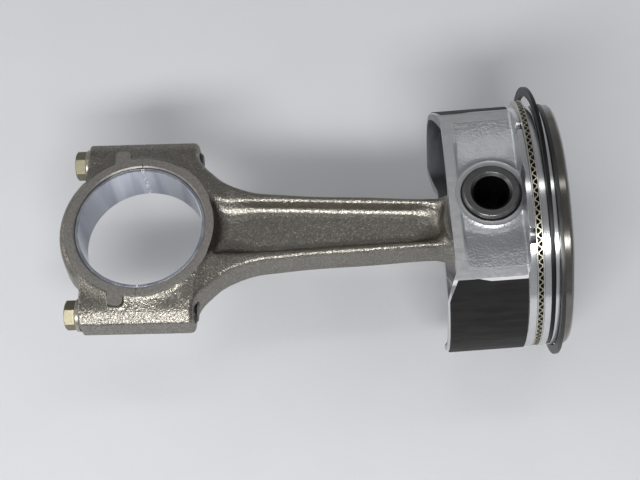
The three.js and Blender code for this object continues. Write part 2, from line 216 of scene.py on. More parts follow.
def rounded(corners, steps=3):
    """A closed outline whose corners (a, b, radius) are rounded by short curves."""
    outline = []
    for i, (a, b, radius) in enumerate(corners):
        here = Vector((a, b))
        before = Vector(corners[i - 1][:2]) - here
        after = Vector(corners[(i + 1) % len(corners)][:2]) - here
        if radius <= 0:
            outline.append((a, b))
            continue
        half = before.angle(after) / 2
        reach = min(radius / math.tan(half), before.length * 0.49, after.length * 0.49)
        start, end = here + before.normalized() * reach, here + after.normalized() * reach
        for k in range(steps + 1):
            t = k / steps
            p = start * (1 - t) ** 2 + here * 2 * t * (1 - t) + end * t ** 2
            outline.append((p.x, p.y))
    return outline


def prism(name, outline, low, high, material, axis="z"):
    """An outline across an axis, raised along it from low to high."""
    count = len(outline)
    points = [along(axis, a, b, h) for h in (low, high) for a, b in outline]
    faces = [tuple(range(count)), tuple(range(count, 2 * count))]
    faces += [(k, (k + 1) % count, count + (k + 1) % count, count + k) for k in range(count)]
    return mesh_object(name, points, faces, material)


def block(name, low, high, material):
    """A straight-sided cutter between two corners."""
    outline = [(low[0], low[1]), (high[0], low[1]), (high[0], high[1]), (low[0], high[1])]
    return prism(name, outline, low[2], high[2], material)


def carve(obj, tool, operation="DIFFERENCE"):
    """Cuts, joins or intersects obj with tool, then removes tool. Cut faces keep the tool's material."""
    step = obj.modifiers.new("carve", "BOOLEAN")
    step.operation = operation
    step.solver = "MANIFOLD"
    step.material_mode = "TRANSFER"
    step.object = tool
    graph = bpy.context.evaluated_depsgraph_get()
    mesh = bpy.data.meshes.new_from_object(obj.evaluated_get(graph), depsgraph=graph)
    obj.modifiers.clear()
    old = obj.data
    obj.data = mesh
    bpy.data.meshes.remove(old)
    bpy.data.objects.remove(tool)
    if not len(mesh.polygons):
        raise RuntimeError(f"nothing was left of {obj.name} after a cut")
    return obj


def shade(obj, angle=32):
    """Smooth faces, with edges sharper than angle kept crisp and normals led by the larger faces."""
    mesh = obj.data
    mesh.polygons.foreach_set("use_smooth", np.ones(len(mesh.polygons), bool))
    mesh.set_sharp_from_angle(angle=math.radians(angle))
    weighted = obj.modifiers.new("normals", "WEIGHTED_NORMAL")
    weighted.keep_sharp = True
    weighted.weight = 50
    return obj


# ---- Distance fields, for forged and cast shapes -------------------------------------------
def soft_min(a, b, k):
    """Union of two fields, with a fillet about as wide as k where they meet."""
    h = np.clip(0.5 + 0.5 * (b - a) / k, 0, 1)
    return b + (a - b) * h - k * h * (1 - h)


def soft_max(a, b, k):
    """Intersection of two fields, with the meeting edge rounded over about k."""
    return -soft_min(-a, -b, k)


def soft_cut(body, tool, k):
    """Body with tool taken away, its new edges rounded over about k."""
    return soft_max(body, -tool, k)


def grid_axes(low, high, step):
    """Three broadcasting coordinate arrays that span a box."""
    x, y, z = (np.arange(a, b + step, step, dtype=np.float32) for a, b in zip(low, high))
    return x[:, None, None], y[None, :, None], z[None, None, :]


def field_mesh(name, field, low, step, material, adaptivity=0.004):
    """The surface where a distance field is zero, as a closed mesh."""
    reach = 3 * step
    grid = openvdb.FloatGrid(reach)
    grid.copyFromArray(np.clip(field, -reach, reach).astype(np.float32))
    grid.gridClass = openvdb.GridClass.LEVEL_SET
    points, triangles, quads = grid.convertToPolygons(isovalue=0.0, adaptivity=adaptivity)
    points = points * step + np.array(low)
    faces = [tuple(q) for q in quads] + [tuple(t) for t in triangles]
    return mesh_object(name, points, faces, material)


def slope_distance(offset, slope):
    """Distance to a sloping edge, from the offset measured square to the axis."""
    return offset / np.sqrt(1 + slope * slope)


def smooth_curve(stations, x):
    """Height and slope at x of a smooth curve through (x, height) stations."""
    xs, ys = np.array(stations, float).T
    gaps = np.diff(xs)
    chords = np.diff(ys) / gaps
    inner = (chords[:-1] * gaps[1:] + chords[1:] * gaps[:-1]) / (gaps[:-1] + gaps[1:])
    slopes = np.concatenate([chords[:1], inner, chords[-1:]])
    clipped = np.clip(x, xs[0], xs[-1])
    i = np.clip(np.searchsorted(xs, clipped) - 1, 0, len(gaps) - 1)
    t = (clipped - xs[i]) / gaps[i]
    height = (ys[i] * (1 + 2 * t) * (1 - t) ** 2 + slopes[i] * gaps[i] * t * (1 - t) ** 2
              + ys[i + 1] * t * t * (3 - 2 * t) + slopes[i + 1] * gaps[i] * t * t * (t - 1))
    slope = np.gradient(height.ravel(), x.ravel()).reshape(height.shape)
    return height.astype(np.float32), slope.astype(np.float32)


# ---- Materials -----------------------------------------------------------------------------
class Look:
    """A node material written as short calls. Lengths are millimetres in the piece's own frame."""

    def __init__(self, name):
        self.material = bpy.data.materials.new(name)
        self.material.use_nodes = True
        self.tree = self.material.node_tree
        self.surface = self.tree.nodes["Principled BSDF"]
        metres = self.node("ShaderNodeTexCoord").outputs["Object"]
        scaled = self.node("ShaderNodeVectorMath", operation="SCALE")
        self.tree.links.new(metres, scaled.inputs[0])
        scaled.inputs["Scale"].default_value = 1 / MM
        self.at = scaled.outputs[0]
        split = self.node("ShaderNodeSeparateXYZ")
        self.tree.links.new(self.at, split.inputs[0])
        self.x, self.y, self.z = split.outputs

    def node(self, kind, **settings):
        made = self.tree.nodes.new(kind)
        for key, value in settings.items():
            setattr(made, key, value)
        return made

    def feed(self, socket, value):
        if isinstance(value, bpy.types.NodeSocket):
            self.tree.links.new(value, socket)
        elif isinstance(value, (tuple, list)) and len(value) == 3 and socket.type == "RGBA":
            socket.default_value = (*value, 1)
        else:
            socket.default_value = value

    def math(self, operation, *values):
        made = self.node("ShaderNodeMath", operation=operation)
        for socket, value in zip(made.inputs, values):
            self.feed(socket, value)
        return made.outputs[0]

    def step(self, value, low, high):
        """0 below low, 1 above high, smooth between. low may be above high."""
        made = self.node("ShaderNodeMapRange", interpolation_type="SMOOTHSTEP")
        for key, number in (("Value", value), ("From Min", low), ("From Max", high)):
            self.feed(made.inputs[key], number)
        return made.outputs[0]

    def blend(self, factor, a, b):
        """Colour a where factor is 0, colour b where it is 1."""
        made = self.node("ShaderNodeMix", data_type="RGBA")
        for socket, value in ((made.inputs[0], factor), (made.inputs[6], a), (made.inputs[7], b)):
            self.feed(socket, value)
        return made.outputs[2]

    def lerp(self, factor, a, b):
        made = self.node("ShaderNodeMix", data_type="FLOAT")
        for socket, value in ((made.inputs[0], factor), (made.inputs[2], a), (made.inputs[3], b)):
            self.feed(socket, value)
        return made.outputs[0]

    def stretch(self, x, y, z):
        """The piece's own position, scaled on each axis."""
        made = self.node("ShaderNodeVectorMath", operation="MULTIPLY")
        self.feed(made.inputs[0], self.at)
        made.inputs[1].default_value = (x, y, z)
        return made.outputs[0]

    def noise(self, size, detail=2.0, roughness=0.5, at=None):
        """Noise with features about size millimetres across."""
        made = self.node("ShaderNodeTexNoise")
        self.feed(made.inputs["Vector"], at or self.at)
        made.inputs["Scale"].default_value = 1 / size
        made.inputs["Detail"].default_value = detail
        made.inputs["Roughness"].default_value = roughness
        return made.outputs["Fac"]

    def cells(self, size, at=None):
        made = self.node("ShaderNodeTexVoronoi")
        self.feed(made.inputs["Vector"], at or self.at)
        made.inputs["Scale"].default_value = 1 / size
        return made.outputs["Distance"]

    def radius(self, a, b):
        squares = self.math("ADD", self.math("MULTIPLY", a, a), self.math("MULTIPLY", b, b))
        return self.math("SQRT", squares)

    def along_one(self, value):
        """A vector that varies only with one number, for lines left by a turning tool."""
        made = self.node("ShaderNodeCombineXYZ")
        self.feed(made.inputs[0], value)
        return made.outputs[0]

    def bump(self, height, depth, normal=None):
        """Bump whose height of 1 stands depth millimetres proud."""
        made = self.node("ShaderNodeBump")
        made.inputs["Strength"].default_value = 1.0
        made.inputs["Distance"].default_value = depth * MM
        self.feed(made.inputs["Height"], height)
        if normal is not None:
            self.feed(made.inputs["Normal"], normal)
        return made.outputs[0]

    def edge_normal(self, radius):
        """The surface normal with its edges rounded over a small radius."""
        made = self.node("ShaderNodeBevel")
        made.samples = 4
        made.inputs["Radius"].default_value = radius * MM
        return made.outputs[0]

    def finish(self, color, roughness, metallic=1.0, normal=None, **extra):
        self.feed(self.surface.inputs["Base Color"], color)
        self.feed(self.surface.inputs["Roughness"], roughness)
        self.feed(self.surface.inputs["Metallic"], metallic)
        if normal is not None:
            self.feed(self.surface.inputs["Normal"], normal)
        for key, value in extra.items():
            self.feed(self.surface.inputs[key.replace("_", " ")], value)
        return self.material


def forged_steel():
    """Shot-blasted forging: a sparkling grain, warm grey-brown, brighter where edges were rubbed."""
    look = Look("forged_steel")
    grain = look.noise(0.7, 3, 0.65)
    blasted = look.noise(1.3, 3, 0.6)
    dimples = look.cells(0.8)
    patches = look.noise(9, 3)
    edges = look.step(look.node("ShaderNodeNewGeometry").outputs["Pointiness"], 0.51, 0.57)
    rubbed = look.math("MULTIPLY", edges, look.step(look.math("ABSOLUTE", look.x), 1.2, 2.0))
    dark = look.blend(patches, (0.155, 0.144, 0.124), (0.225, 0.211, 0.184))
    base = look.blend(look.step(grain, 0.42, 0.66), dark, (0.34, 0.322, 0.287))
    color = look.blend(rubbed, base, (0.42, 0.4, 0.358))
    rough = look.lerp(look.step(grain, 0.3, 0.75), 0.38, 0.24)
    coarse = look.lerp(look.step(look.math("ABSOLUTE", look.z), WEB_Z + 0.5, BEAM_Z - 1.5), 0.45, 1.0)
    relief = look.math("ADD", look.math("MULTIPLY", dimples, 0.1), look.math("MULTIPLY", blasted, 0.26))
    normal = look.bump(look.math("MULTIPLY", relief, coarse), 1.0, look.bump(grain, 0.11))
    return look.finish(color, rough, 1.0, normal)


def ground_steel():
    """Ground side faces of the big end: neutral grey, with faint lines and a dark split across them."""
    look = Look("ground_steel")
    turning = look.radius(look.x, look.y)
    rings = look.noise(0.35, 2, 0.5, look.along_one(turning))
    fleck = look.noise(1.1, 3)
    wander = look.math("MULTIPLY", look.math("SUBTRACT", look.noise(1.3, 3), 0.5), 0.9)
    line = look.step(look.math("ABSOLUTE", look.math("ADD", look.x, wander)), 0.26, 0.1)
    split = look.math("MULTIPLY", line, look.lerp(look.step(turning, 30.0, 29.2), 0.25, 1.0))
    base = look.blend(look.step(fleck, 0.35, 0.7), (0.3, 0.285, 0.262), (0.4, 0.382, 0.355))
    color = look.blend(split, base, (0.03, 0.028, 0.025))
    rough = look.lerp(rings, 0.34, 0.46)
    normal = look.bump(rings, 0.012, look.edge_normal(0.25))
    return look.finish(color, rough, look.math("SUBTRACT", 1.0, look.math("MULTIPLY", split, 0.6)), normal)


def bearing_metal():
    """Plated running surface: bright and bluish, with fine lines round the bore."""
    look = Look("bearing_metal")
    lines = look.noise(0.3, 2, 0.5, look.along_one(look.z))
    cloud = look.noise(8, 2, 0.5, look.stretch(1, 1, 0.1))
    ragged = look.math("MULTIPLY", look.math("SUBTRACT", look.noise(0.9, 3), 0.5), 1.6)
    fleck = look.step(look.noise(1.1, 2), 0.48, 0.56)
    from_split = look.math("ABSOLUTE", look.math("ADD", look.x, ragged))
    near_split = look.math("MULTIPLY", look.step(from_split, 0.9, 0.5), fleck)
    base = look.blend(look.step(cloud, 0.4, 0.6), (0.46, 0.485, 0.57), (0.68, 0.71, 0.78))
    color = look.blend(near_split, base, (0.9, 0.92, 0.95))
    rough = look.lerp(near_split, look.lerp(lines, 0.12, 0.22), 0.6)
    normal = look.bump(lines, 0.006, look.edge_normal(0.2))
    return look.finish(color, rough, 1.0, normal)


def cast_aluminium():
    """As-cast skin: a fine hammered grain, smoother on the rims of the panels, with painted shade inside the
    cavity and in the oil drains.
    """
    look = Look("cast_aluminium")
    side, deep = look.math("ABSOLUTE", look.y), look.math("ABSOLUTE", look.z)
    grain = look.noise(0.9, 3, 0.55)
    hammered = look.cells(1.15)
    swell = look.noise(5, 2)
    ragged = look.math("MULTIPLY", look.math("SUBTRACT", look.noise(1.4, 3), 0.5), 1.6)
    smooth_rim = look.math("MAXIMUM", look.step(look.math("ADD", side, ragged), 33.0, 33.5),
                           look.step(look.x, RECESS_X + 0.2, RECESS_X - 0.3))
    # Where this is 0, inside the cavity, the dark colour below is painted shade.
    outside = look.step(deep, CAVITY_HALF_WIDTH + 0.4, CAVITY_HALF_WIDTH + 1.4)
    tone = look.blend(swell, (0.44, 0.447, 0.46), (0.56, 0.57, 0.585))
    from_drain = look.radius(look.math("SUBTRACT", side, DRAIN_Y), look.math("SUBTRACT", deep, DRAIN_Z))
    # Painted shade in the oil drains, dark round their mouths.
    drain_shade = look.step(from_drain, 3.5, 2.6)
    panel = look.blend(smooth_rim, tone, (0.58, 0.585, 0.595))
    color = look.blend(outside, (0.2, 0.204, 0.214), look.blend(drain_shade, panel, (0.09, 0.09, 0.088)))
    relief = look.math("ADD", look.math("MULTIPLY", hammered, 0.09), look.math("MULTIPLY", grain, 0.08))
    height = look.math("MULTIPLY", relief, look.lerp(smooth_rim, 1.0, 0.12))
    normal = look.bump(height, 1.0, look.bump(swell, 0.2))
    return look.finish(color, look.lerp(grain, 0.3, 0.46), 1.0, normal)


def milled_aluminium():
    """Cut faces: flat, with circular tool marks round the pin."""
    look = Look("milled_aluminium")
    turning = look.radius(look.x, look.y)
    rings = look.noise(0.45, 2, 0.5, look.along_one(turning))
    grooves = look.noise(1.3, 1, 0.5, look.along_one(turning))
    color = look.blend(look.noise(6, 2), (0.46, 0.465, 0.475), (0.58, 0.585, 0.6))
    normal = look.bump(rings, 0.03, look.bump(grooves, 0.12, look.edge_normal(0.3)))
    return look.finish(color, look.lerp(rings, 0.26, 0.4), 1.0, normal)


def turned_aluminium():
    """Turned outside of the piston: fine feed lines, painted shade in the grooves and on the top land, and a
    charcoal coating on the skirts.
    """
    look = Look("turned_aluminium")
    side, out = look.math("ABSOLUTE", look.y), look.radius(look.y, look.z)
    tool_path = look.along_one(look.math("ADD", look.x, out))
    feed = look.noise(0.22, 2, 0.6, tool_path)
    bands = look.noise(2.3, 2, 0.5, tool_path)
    streaks = look.noise(5, 2)
    # The coated patch has a dipped edge beside the pin panels, a slant at the open end, and a straight
    # edge at the ring belt.
    before_dip = look.math("MULTIPLY", 0.177, look.math("MAXIMUM", look.math("SUBTRACT", -4, look.x), 0))
    dip = look.math("SUBTRACT", COAT_DIP_Y, before_dip)
    inside_y = look.step(side, look.math("SUBTRACT", dip, 0.12), look.math("ADD", dip, 0.12))
    drop = look.math("MULTIPLY", 0.62, look.math("MAXIMUM", look.math("SUBTRACT", side, 36.5), 0))
    slant = look.math("MAXIMUM", -20.9, look.math("SUBTRACT", -16.5, drop))
    inside_low = look.step(look.x, look.math("SUBTRACT", slant, 0.12), look.math("ADD", slant, 0.12))
    inside_high = look.step(look.x, BELT_START_X - 0.05, BELT_START_X - 0.25)
    outside = look.step(out, BORE_RADIUS - 0.7, BORE_RADIUS - 0.5)
    coat = look.math("MULTIPLY", look.math("MULTIPLY", inside_y, inside_low),
                     look.math("MULTIPLY", inside_high, outside))
    # Painted shade in the ring grooves, below the lands.
    groove_shade = look.math("MULTIPLY", look.step(out, LAND_RADIUS - 0.5, LAND_RADIUS - 1.3),
                          look.step(look.x, CROWN_X - 2, CROWN_X - 2.4))
    wear = look.step(look.noise(2.4, 3, 0.6, look.stretch(0.15, 1, 1)), 0.3, 0.8)
    coat_color = look.blend(wear, (0.009, 0.0084, 0.0088), (0.019, 0.0175, 0.0172))
    bright = look.blend(streaks, (0.6, 0.605, 0.615), (0.72, 0.725, 0.735))
    top_land = look.step(look.x, GROOVES[2][1] - 0.3, GROOVES[2][1] + 0.1)
    # The top land, between the top groove and the crown chamfer, gets a darker brownish colour as painted
    # shade.
    top_land_shade = look.math("MULTIPLY", top_land, look.step(look.x, CROWN_X - 0.3, CROWN_X - 0.9))
    metal = look.blend(top_land_shade, bright, look.blend(streaks, (0.14, 0.133, 0.12), (0.23, 0.22, 0.2)))
    color = look.blend(coat, look.blend(groove_shade, metal, (0.04, 0.039, 0.036)), coat_color)
    below_belt = look.step(look.x, BELT_START_X, BELT_START_X - 0.2)
    beside_coat = look.math("MULTIPLY", look.step(side, COAT_DIP_Y + 0.8, COAT_DIP_Y + 0.3), below_belt)
    bare = look.lerp(beside_coat, look.lerp(bands, 0.12, 0.22), 0.5)
    rough = look.lerp(coat, bare, look.lerp(wear, 0.58, 0.5))
    coat_height = look.math("ADD", 0.05, look.math("MULTIPLY", look.cells(0.5), 0.03))
    height = look.lerp(coat, look.math("MULTIPLY", feed, 0.016), coat_height)
    normal = look.bump(height, 1.0, look.edge_normal(0.22))
    return look.finish(color, rough, look.math("SUBTRACT", 1.0, coat), normal, Specular_IOR_Level=0.2)


def ring_iron(name, bright, dark):
    """Piston-ring iron: clouded between a dark and a slightly brighter tone, with lines round the axis."""
    look = Look(name)
    lines = look.noise(0.3, 2, 0.6, look.along_one(look.radius(look.y, look.z)))
    cloud = look.noise(6, 3)
    color = look.blend(cloud, dark, bright)
    normal = look.bump(lines, 0.01, look.edge_normal(0.12))
    return look.finish(color, look.lerp(cloud, 0.34, 0.48), 1.0, normal)


def spring_steel(name, low, high, rough):
    """Thin rolled strip: lightly clouded, with a fine uneven sheen."""
    look = Look(name)
    cloud = look.noise(2.2, 3)
    fine = look.noise(0.35, 2)
    normal = look.bump(fine, 0.012)
    return look.finish(look.blend(cloud, low, high), look.lerp(fine, rough, rough + 0.16), 1.0, normal)


def pin_steel():
    """Ground and polished pin, with painted shade making it nearly black down its hollow."""
    look = Look("pin_steel")
    turning = look.radius(look.x, look.y)
    # Painted shade: the bore of the hollow is coloured nearly black.
    hollow = look.step(turning, PIN_HOLE_RADIUS + 0.35, PIN_HOLE_RADIUS + 0.1)
    rings = look.noise(0.4, 2, 0.5, look.along_one(turning))
    steel = look.blend(look.noise(4, 3), (0.13, 0.13, 0.13), (0.2, 0.198, 0.195))
    color = look.blend(hollow, steel, (0.018, 0.017, 0.016))
    rough = look.lerp(hollow, look.lerp(rings, 0.2, 0.32), 0.55)
    return look.finish(color, rough, 1.0, look.bump(rings, 0.008, look.edge_normal(0.2)))


def bolt_steel():
    """Olive phosphate on the head, with a bright washer face and thread."""
    look = Look("bolt_steel")
    cloud = look.noise(1.6, 3)
    fine = look.noise(0.3, 2)
    head = look.step(look.x, -1.75, -2.0)
    olive = look.blend(cloud, (0.17, 0.155, 0.105), (0.26, 0.24, 0.17))
    washer = look.blend(cloud, (0.36, 0.34, 0.28), (0.5, 0.48, 0.41))
    thread = look.blend(cloud, (0.05, 0.048, 0.045), (0.1, 0.095, 0.085))
    metal = look.blend(head, washer, olive)
    color = look.blend(look.step(look.x, 1.0, 1.5), metal, thread)
    return look.finish(color, look.lerp(fine, 0.3, 0.45), 1.0, look.bump(fine, 0.02, look.edge_normal(0.2)))


# ---- Piston --------------------------------------------------------------------------------
def piston_casting(material):
    """Everything the mould and the core leave: panels, recesses, bosses, cavity and drains."""
    low = (SKIRT_END_X - 2.2, -BORE_RADIUS - FIELD_MARGIN, -BORE_RADIUS - FIELD_MARGIN)
    high = (CROWN_X + 2.2, BORE_RADIUS + FIELD_MARGIN, BORE_RADIUS + FIELD_MARGIN)
    x, y, z = grid_axes(low, high, PISTON_STEP)
    across, deep = np.abs(y), np.abs(z)
    rho = np.sqrt(y * y + z * z)
    from_pin = np.sqrt(x * x + y * y)
    body = np.maximum(rho - (BORE_RADIUS + 0.7), np.abs(x - (SKIRT_END_X + CROWN_X) / 2)
                      - (CROWN_X - SKIRT_END_X) / 2 - 0.8)

    panel = soft_max(PANEL_Z - deep, x - BELT_START_X, 1.6)
    body = soft_cut(body, panel, 1.0)

    # The side recess is deepest round the pad and runs out into the panel towards the skirts.
    fade = np.clip((across - 14) / 21, 0, 1)
    floor_z = RECESS_Z + 3.0 * fade * fade * (3 - 2 * fade)
    edges = soft_max(RECESS_X - 0.5 * (PANEL_Z - deep) - x, x - BELT_START_X - 1, 1)
    recess = soft_max(edges, floor_z + 0.4 * (1 - fade) - deep, 1.6)
    pad = from_pin - (PAD_RADIUS + 0.8 * (PANEL_Z - deep))
    apron = soft_max(np.sqrt((x + 1.0) ** 2 + (y + 1.4) ** 2) - 16.2, deep - (RECESS_Z + 0.55), 1.2)
    recess = soft_cut(soft_cut(recess, apron, 1.2), pad, 1.5)
    body = soft_cut(body, recess, 1.0)

    # The cavity, wide inside the skirts and narrower inside the ring belt, with the pin bosses left in it.
    side_wall = deep - CAVITY_HALF_WIDTH
    skirt_space = soft_max(soft_max(rho - CAVITY_RADIUS, side_wall, 6), x - BELT_START_X - 1, 7)
    belt_space = soft_max(soft_max(rho - BELT_CAVITY_RADIUS, side_wall, 6), x - CROWN_UNDERSIDE_X, 7)
    cavity = soft_min(skirt_space, belt_space, 5)
    ring = soft_max(from_pin - BOSS_RADIUS, BOSS_INNER_Z - deep, 1.6)
    strut = soft_max(soft_max(across - 12, BOSS_INNER_Z - deep, 4), -x, 3)
    cavity = soft_cut(cavity, soft_min(ring, strut, 5), 5)
    body = soft_cut(body, cavity, 1.2)

    # Room for the rod's eye between the bosses and under the crown.
    beside_eye = deep - EYE_HALF_WIDTH - EYE_SIDE_CLEARANCE
    eye_space = soft_max(from_pin - EYE_RADIUS - EYE_CLEARANCE, beside_eye, 1.0)
    body = soft_cut(body, eye_space, 1.0)

    # Oil drains, from the panels into the oil-ring groove.
    drain_end_x = GROOVES[0][0] + 1
    drain = soft_max(np.sqrt((across - DRAIN_Y) ** 2 + (deep - DRAIN_Z) ** 2) - 3, x - drain_end_x, 1.2)
    body = soft_cut(body, drain, 1.0)
    return field_mesh("piston_visual", body, low, PISTON_STEP, material)


def turned_outside(material):
    """Skirt, lands, grooves and crown edge, as the lathe leaves them."""
    edge = 0.16
    corners = [(0, SKIRT_END_X, 0), (BORE_RADIUS - 0.9, SKIRT_END_X, 0.2),
               (BORE_RADIUS, SKIRT_END_X + 1.6, 0.6), (BORE_RADIUS, BELT_START_X - 0.2, 0.1),
               (LAND_RADIUS, BELT_START_X + 0.25, 0.1)]
    for start, end in GROOVES:
        corners += [(LAND_RADIUS, start, edge), (GROOVE_RADIUS, start, 0.25),
                    (GROOVE_RADIUS, end, 0.25), (LAND_RADIUS, end, edge)]
    corners += [(LAND_RADIUS - 0.1, CROWN_X - 1.5, 0.4), (LAND_RADIUS - 1.3, CROWN_X, 0.3), (0, CROWN_X, 0)]
    return lathe("turned_outside", rounded(corners), "x", 320, material)


def piston(cast, milled, turned):
    body = piston_casting(cast)
    carve(body, turned_outside(turned), "INTERSECT")
    # The open end: straight across the panels, then out along a slant to the ends of the skirts.
    half = [(PANEL_END_X, 33.5), (PANEL_END_X - 0.35, 34.9), (SKIRT_END_X - 0.1, 43.6),
            (SKIRT_END_X - 5, 43.6)]
    trim = [(x, -y) for x, y in reversed(half)] + half
    carve(body, prism("trim", trim, -FAR, FAR, milled))
    for side in (1, -1):
        face = [(0, PAD_Z), (PAD_RADIUS + 0.35, PAD_Z), (PAD_RADIUS + 0.35, PAD_Z + 5), (0, PAD_Z + 5)]
        carve(body, lathe("pad_face", [(r, side * h) for r, h in face], "z", 128, milled))
        relief = lathe("relief", [(0, 0), (RELIEF_RADIUS, 0), (RELIEF_RADIUS, 12), (0, 12)], "x", 128, milled)
        relief.matrix_world = (Matrix.Translation(((CROWN_X - RELIEF_DEPTH) * MM, side * RELIEF_Y * MM, 0))
                               @ Matrix.Rotation(side * RELIEF_TILT, 4, "Z"))
        carve(body, relief)
    mouth = 0.6
    half = [(PIN_BORE_RADIUS, PAD_Z - mouth), (PIN_BORE_RADIUS + mouth, PAD_Z),
            (PIN_BORE_RADIUS + mouth, FAR), (0, FAR)]
    bore = [(r, -h) for r, h in reversed(half)] + half
    carve(body, lathe("pin_bore", bore, "z", 128, milled))
    body.matrix_world = PISTON_FRAME
    return shade(body)


# ---- Rings ---------------------------------------------------------------------------------
def ring(name, material, inner, outer, x0, x1, gap, gap_at, rise, edge=0.14, warp=None):
    """A split ring, its running face very slightly barrelled. The opening and its place are in degrees."""
    barrel = 0.03
    corners = [(inner, x0, edge), (outer - barrel, x0, edge), (outer, (x0 + x1) / 2, 0),
               (outer - barrel, x1, edge), (inner, x1, edge)]
    outline = rounded(corners, 2)
    made = arc_sweep(name, outline, "x", gap_at + gap / 2, 360 - gap, RING_SEGMENTS, material, warp)
    made.matrix_world = PISTON_FRAME @ Matrix.Translation((0, rise * MM, 0))
    return shade(made)


def leaning(point):
    """The second ring bends towards the skirt where it has sprung out of its groove."""
    x, y, z = point
    bend_from, bend_over, reach = 8.0, 47.5, 2.0
    lift = max(0.0, y - bend_from) / bend_over
    return (x - reach * lift * lift, y, z)


def expander(material):
    """A corrugated strip: a rounded wave round the groove, with a rectangular section."""
    waves, per_wave = 92, 12
    inner, outer, strip, swing, squareness = 48.8, 52.5, 0.17, 0.62, 2.2
    centre = sum(GROOVES[0]) / 2
    count = waves * per_wave
    points, faces = [], []
    for i in range(count):
        turn = 2 * math.pi * i / count
        phase = 2 * math.pi * (i % per_wave) / per_wave
        x = centre + swing * math.tanh(squareness * math.sin(phase)) / math.tanh(squareness)
        half = strip * (1 + 0.9 * abs(math.cos(phase)))
        for r, edge in ((inner, x - half), (outer, x - half), (outer, x + half), (inner, x + half)):
            points.append((edge, r * math.cos(turn), r * math.sin(turn)))
    for i in range(count):
        here, there = i * 4, (i + 1) % count * 4
        for k in range(4):
            m = (k + 1) % 4
            faces.append((here + k, here + m, there + m, there + k))
    made = mesh_object("oil_expander_visual", points, faces, material)
    made.matrix_world = PISTON_FRAME @ Matrix.Translation((0, OIL_RING_RISE * MM, 0))
    return shade(made, 40)


# ---- Pin, shells and bolts -----------------------------------------------------------------
def wrist_pin(material):
    """A hollow pin, chamfered inside and out at each end."""
    half = [(PIN_RADIUS, PIN_HALF - 0.9, 0.5), (PIN_RADIUS - 0.9, PIN_HALF, 0.35),
            (PIN_HOLE_RADIUS + 1.3, PIN_HALF, 0.25), (PIN_HOLE_RADIUS, PIN_HALF - 1.4, 0.4)]
    corners = [(r, -h, edge) for r, h, edge in reversed(half)] + half
    made = lathe("wrist_pin_visual", rounded(corners), "z", 160, material)
    made.matrix_world = PIN_FRAME
    return shade(made)


def bearing_shell(name, start, material):
    """Half a turn of shell from the start angle, in degrees, just clear of the split."""
    edge = 0.3
    corners = [(BEARING_RADIUS, -SHELL_HALF_WIDTH, edge), (SHELL_OUTER_RADIUS, -SHELL_HALF_WIDTH, edge),
               (SHELL_OUTER_RADIUS, SHELL_HALF_WIDTH, edge), (BEARING_RADIUS, SHELL_HALF_WIDTH, edge)]
    gap = math.degrees(SPLIT_GAP / BEARING_RADIUS)
    made = arc_sweep(name, rounded(corners), "z", start + gap, 180 - 2 * gap, 120, material)
    made.matrix_world = ROD_FRAME
    return shade(made)


def cap_bolt(name, side, material):
    """Flanged hexagon cap screw with a thread where it leaves the rod."""
    length = ROD_BOSS_END_X - CAP_SEAT_X + 1.2
    envelope = rounded([(0, HEAD_TOP_X, 0), (HEAD_RADIUS - 1.15, HEAD_TOP_X, 0.3),
                        (HEAD_RADIUS, HEAD_TOP_X + 0.65, 0.1), (HEAD_RADIUS, -1.5, 0), (0, -1.5, 0)])
    head = lathe(name, envelope, "x", 96, material)
    turns = [math.radians(60 * k + 30) for k in range(6)]
    hexagon = rounded([(HEAD_RADIUS * math.cos(t), HEAD_RADIUS * math.sin(t), 0.35) for t in turns])
    carve(head, prism("hexagon", hexagon, -8.0, -1.0, material, "x"), "INTERSECT")
    carve(head, lathe("dish", [(0, -8), (2.9, -8), (2.5, -6.3), (0, -6.15)], "x", 64, material))
    flat = HEAD_RADIUS * math.cos(math.pi / 6)
    flange = rounded([(0, FLANGE_TOP_X, 0), (flat + 0.6, FLANGE_TOP_X, 0.2), (FLANGE_RADIUS, -1.5, 0.25),
                      (FLANGE_RADIUS, 0, 0.15), (0, 0, 0)])
    carve(head, lathe("flange", flange, "x", 96, material), "UNION")
    shank = [(0, -0.4), (BOLT_RADIUS, -0.4), (BOLT_RADIUS, 26)]
    pitch, depth = 1.0, 0.42
    turn = 27.0
    while turn < length - 1.6:
        shank += [(BOLT_RADIUS, turn), (BOLT_RADIUS, turn + 0.12), (BOLT_RADIUS - depth, turn + 0.5),
                  (BOLT_RADIUS - depth, turn + 0.62)]
        turn += pitch
    shank += [(BOLT_RADIUS, turn), (BOLT_RADIUS, turn + 0.3), (BOLT_RADIUS - 0.9, length), (0, length)]
    carve(head, lathe("shank", shank, "x", 64, material), "UNION")
    head.matrix_world = ROD_FRAME @ Matrix.Translation(((CAP_SEAT_X - 0.05) * MM, side * BOLT_Y * MM, 0))
    return shade(head)


# ---- Rod and cap ---------------------------------------------------------------------------
def big_end_field(x, y, z):
    """The forged round of the big end with its raised rim."""
    turning, deep = np.sqrt(x * x + y * y), np.abs(z)
    outer = turning - (BAND_RADIUS - 0.075 * deep)
    shoulder = (deep - (10.2 - 0.27 * (turning - 31.5))) * 0.965
    band = soft_max(outer, shoulder, 3.0)
    rim = soft_max(turning - RIM_RADIUS - 0.15 - 0.3 * (RIM_Z - deep), deep - RIM_Z - 0.7, 0.5)
    # The step below the rim is crisp over the middle of the cap and widens towards the bolt blocks.
    fillet = 0.7 + 2.3 * np.clip((np.abs(y) - 14) / 12, 0, 1)
    return soft_min(band, rim, fillet)


def boss_field(x, y, z, x0, x1, end_round0, end_round1):
    """The bolt block, drafted to an edge along its outer side."""
    across, deep = np.abs(y), np.abs(z)
    outer = across - BOSS_HALF_WIDTH
    face = deep - BOSS_Z
    drafted = ((across - 37.5) * 3.6 + (deep - BOSS_Z) * 5.5) / math.hypot(3.6, 5.5)
    section = soft_max(soft_max(face, drafted, 1.6), outer, 0.7)
    section = soft_max(section, 22 - across, 1)
    return soft_max(soft_max(section, x - x1, end_round1), x0 - x, end_round0)


